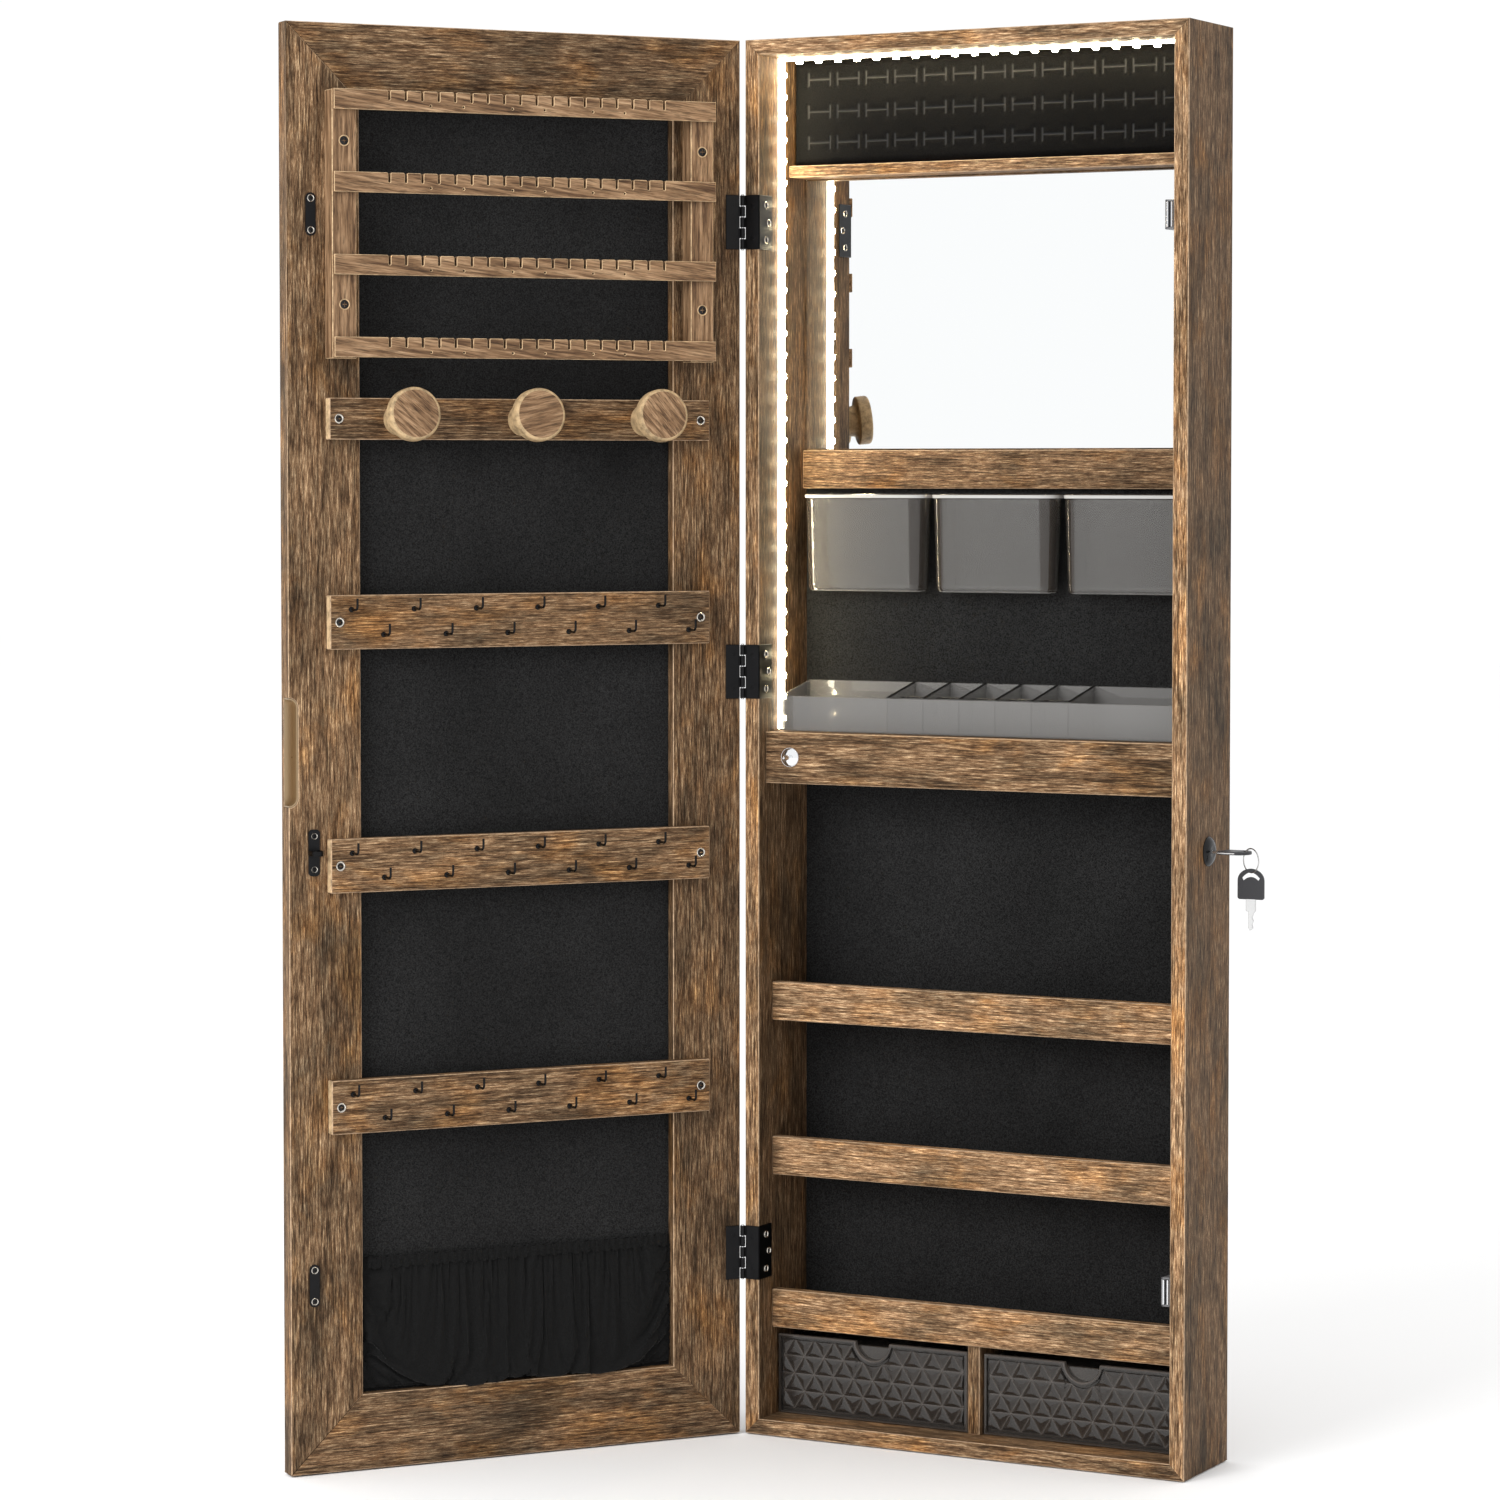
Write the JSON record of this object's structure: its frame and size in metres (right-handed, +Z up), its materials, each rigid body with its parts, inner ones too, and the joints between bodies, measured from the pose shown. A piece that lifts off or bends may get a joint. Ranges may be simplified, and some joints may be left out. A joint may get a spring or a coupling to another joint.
{
  "type": "jewelry cabinet",
  "caption": "Wall-hung jewelry cabinet with a hinged mirror door, lit inside, with shelves, drawers, bins, an earring rack, pegs, necklace hooks and a cam lock.",
  "frame": {"origin": "centre of the case's flat back face, on the wall", "axes": "+X to the viewer's right, +Y into the wall, +Z up"},
  "size_m": [0.6538, 0.3833, 1.085],
  "materials": {
    "wood": "satin woodgrain foil, rustic brown with dark patches",
    "walnut": "satin walnut",
    "velvet": "short black pile",
    "pocket_cloth": "matte woven",
    "mirror": "silvered glass",
    "smoked_plastic": "clear smoked polystyrene",
    "led": "gloss",
    "box_plastic": "matte",
    "catch_plastic": "matte",
    "black_metal": "satin black",
    "chrome": "polished",
    "key_metal": "black plastic bow, plated steel blade",
    "champagne_metal": "brushed champagne"
  },
  "bodies": {
    "case": {"case_left_side": "wood", "case_right_side": "wood", "case_top": "wood", "case_bottom": "wood", "back_panel": "velvet", "hanging_plate": "chrome", "ring_cushion": "velvet", "ring_shelf": "wood", "case_mirror": "mirror", "bin_rail": "wood", "main_shelf": "wood", "upper_shelf": "wood", "lower_shelf": "wood", "drawer_shelf": "wood", "drawer_divider": "wood", "led_strip": "led", "battery_box": "box_plastic", "magnetic_catch_upper": "catch_plastic", "magnetic_catch_lower": "catch_plastic", "lock_body": "black_metal", "case_hinge_leaf_upper": "black_metal", "case_hinge_leaf_middle": "black_metal", "case_hinge_leaf_lower": "black_metal"},
    "bin_left": {"bin_left": "smoked_plastic"},
    "bin_middle": {"bin_middle": "smoked_plastic"},
    "bin_right": {"bin_right": "smoked_plastic"},
    "tray": {"cosmetic_tray": "smoked_plastic"},
    "drawer_left": {"drawer_left": "smoked_plastic"},
    "drawer_right": {"drawer_right": "smoked_plastic"},
    "plunger": {"switch_plunger": "chrome"},
    "lock_plug": {"lock_cam": "chrome", "key": "key_metal"},
    "spare_key": {"spare_key": "key_metal"},
    "door": {"door_hinge_leaf_lower": "black_metal", "door_hinge_leaf_middle": "black_metal", "door_hinge_leaf_upper": "black_metal", "door_mirror": "mirror", "door_panel": "velvet", "door_rail_bottom": "wood", "door_rail_top": "wood", "door_stile_free": "wood", "door_stile_hinge": "wood", "fabric_pocket": "pocket_cloth", "finger_pull": "champagne_metal", "hook_rail_1": "wood", "hook_rail_2": "wood", "hook_rail_3": "wood", "lock_keeper": "black_metal", "peg_1": "walnut", "peg_2": "walnut", "peg_3": "walnut", "peg_rail": "wood", "rack_bar_1": "walnut", "rack_bar_2": "walnut", "rack_bar_3": "walnut", "rack_bar_4": "walnut", "rack_upright_free_side": "walnut", "rack_upright_hinge_side": "walnut", "strike_plate_lower": "black_metal", "strike_plate_upper": "black_metal"}
  },
  "joints": [
    {"name": "door_hinge", "type": "hinge", "parent": "case", "child": "door", "pos_m": [-0.1866, -0.08725, 0], "axis": [0, 0, -1], "range_deg": [-127, 43]},
    {"name": "bin_left_pull", "type": "slide", "parent": "case", "child": "bin_left", "axis": [0, -1, 0], "range_m": [0, 0.04]},
    {"name": "bin_middle_pull", "type": "slide", "parent": "case", "child": "bin_middle", "axis": [0, -1, 0], "range_m": [0, 0.04]},
    {"name": "bin_right_pull", "type": "slide", "parent": "case", "child": "bin_right", "axis": [0, -1, 0], "range_m": [0, 0.04]},
    {"name": "tray_slide", "type": "slide", "parent": "case", "child": "tray", "axis": [0, -1, 0], "range_m": [0, 0.06]},
    {"name": "drawer_left_slide", "type": "slide", "parent": "case", "child": "drawer_left", "axis": [0, -1, 0], "range_m": [0, 0.06]},
    {"name": "drawer_right_slide", "type": "slide", "parent": "case", "child": "drawer_right", "axis": [0, -1, 0], "range_m": [0, 0.06]},
    {"name": "switch_press", "type": "slide", "parent": "case", "child": "plunger", "axis": [0, 1, 0], "range_m": [0, 0.004], "stiffness_N_per_m": 150, "springref_m": -0.004},
    {"name": "lock_turn", "type": "hinge", "parent": "case", "child": "lock_plug", "pos_m": [0.18, -0.043, -0.075], "axis": [-1, 0, 0], "range_deg": [0, 90]},
    {"name": "spare_key_swing", "type": "hinge", "parent": "lock_plug", "child": "spare_key", "pos_m": [0.2131, -0.0394, -0.075], "axis": [1, 0, 0], "range_deg": [-15, 15]}
  ]
}
